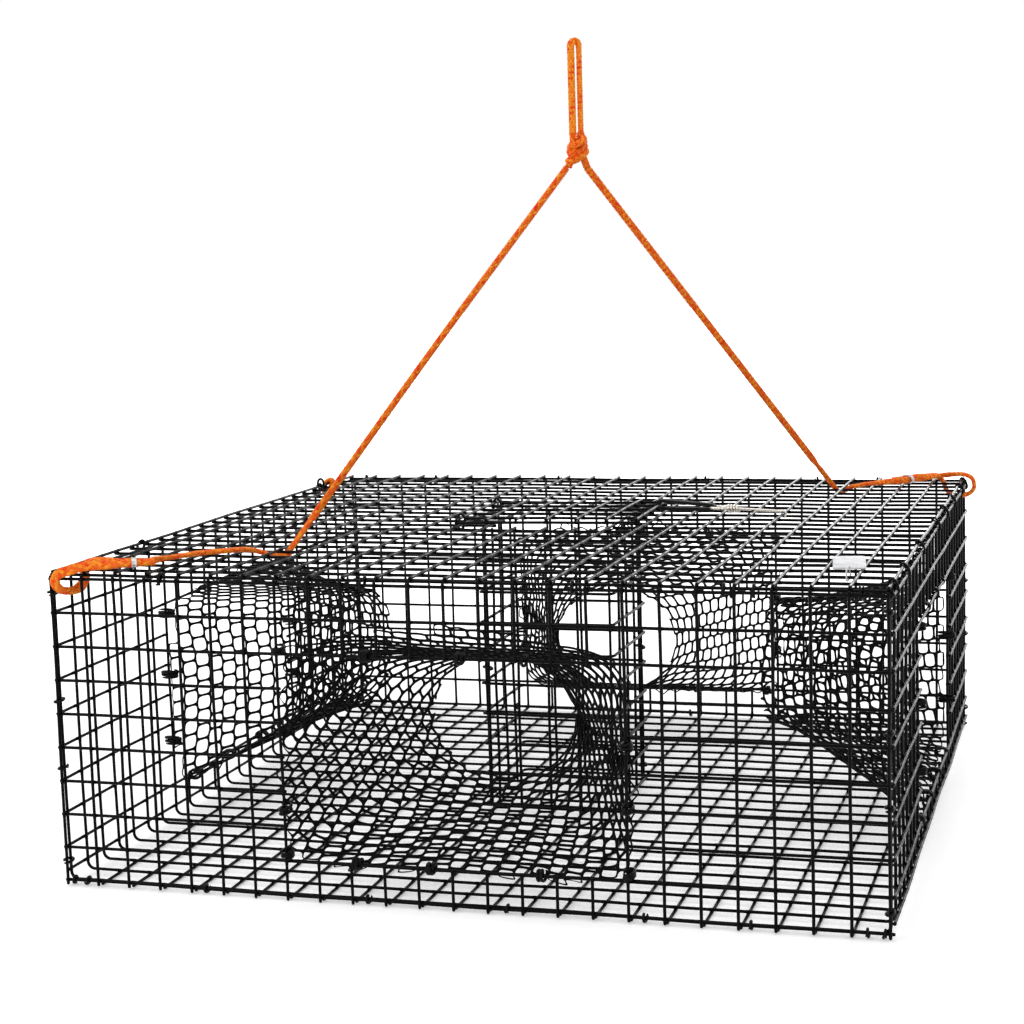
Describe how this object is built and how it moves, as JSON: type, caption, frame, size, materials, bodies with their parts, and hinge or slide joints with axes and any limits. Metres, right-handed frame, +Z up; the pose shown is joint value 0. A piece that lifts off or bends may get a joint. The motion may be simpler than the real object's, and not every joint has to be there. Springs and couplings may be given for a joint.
{
  "type": "shrimp trap",
  "caption": "Square wire mesh shrimp trap with a netting funnel in each side, a bait tube under a strapped mesh lid, and a rope bridle.",
  "frame": {"origin": "middle of the cage at the underside of its floor", "axes": "+Z up, +Y towards the rear panel, +X towards the side where the lid is hooked"},
  "size_m": [0.6324, 0.6313, 0.633],
  "materials": {
    "coated_wire": "glossy black vinyl coating on steel wire",
    "netting": "black coated hexagonal netting, satin",
    "ring_wire": "dark coated ring wire",
    "strap_rubber": "matt black rubber",
    "bright_steel": "bright zinc",
    "white_plastic": "plain white plastic, blank",
    "orange_rope": "orange braided polypropylene cord"
  },
  "bodies": {
    "cage": {"bait_tube_front_right": "coated_wire", "bait_tube_rear_left": "coated_wire", "bottom_ring_front_1": "ring_wire", "bottom_ring_front_2": "ring_wire", "bottom_ring_rear_1": "ring_wire", "bottom_ring_rear_2": "ring_wire", "bridle_knot": "orange_rope", "bridle_left": "orange_rope", "bridle_loop": "orange_rope", "bridle_right": "orange_rope", "cord_tie": "orange_rope", "corner_ring_front_1_1": "ring_wire", "corner_ring_front_1_2": "ring_wire", "corner_ring_front_2_1": "ring_wire", "corner_ring_front_2_2": "ring_wire", "corner_ring_rear_1_1": "ring_wire", "corner_ring_rear_1_2": "ring_wire", "corner_ring_rear_2_1": "ring_wire", "corner_ring_rear_2_2": "ring_wire", "crimp_left": "bright_steel", "crimp_right": "bright_steel", "edge_ring": "ring_wire", "floor_and_sides": "coated_wire", "front_panel": "coated_wire", "funnel_clip_front": "ring_wire", "funnel_clip_left": "ring_wire", "funnel_clip_rear": "ring_wire", "funnel_clip_right": "ring_wire", "funnel_front": "netting", "funnel_left": "netting", "funnel_rear": "netting", "funnel_right": "netting", "lid_hinge_ring_1": "ring_wire", "lid_hinge_ring_2": "ring_wire", "rear_panel": "coated_wire", "top_panel": "coated_wire", "top_ring_front_1": "ring_wire", "top_ring_front_2": "ring_wire", "top_ring_left_1": "ring_wire", "top_ring_left_2": "ring_wire", "top_ring_rear_1": "ring_wire", "top_ring_rear_2": "ring_wire", "top_ring_right_1": "ring_wire", "top_ring_right_2": "ring_wire", "tube_ring_front_left": "ring_wire", "tube_ring_rear_right": "ring_wire"},
    "lid": {"bait_lid": "coated_wire"},
    "strap": {"lid_strap": "strap_rubber", "lid_hook": "bright_steel"},
    "tag": {"tag": "white_plastic", "tag_tie": "white_plastic"}
  },
  "joints": [
    {"name": "lid_hinge", "type": "hinge", "parent": "cage", "child": "lid", "pos_m": [-0.0762, 0.0127, 0.2426], "axis": [0, -1, 0], "range_deg": [0, 110]},
    {"name": "strap_hinge", "type": "hinge", "parent": "lid", "child": "strap", "pos_m": [0.07618, 0.042, 0.24526], "axis": [0, -1, 0], "range_deg": [0, 140]},
    {"name": "tag_hinge", "type": "hinge", "parent": "cage", "child": "tag", "pos_m": [0.2705, -0.254, 0.2349], "axis": [1, 0, 0], "range_deg": [0, 120]}
  ]
}
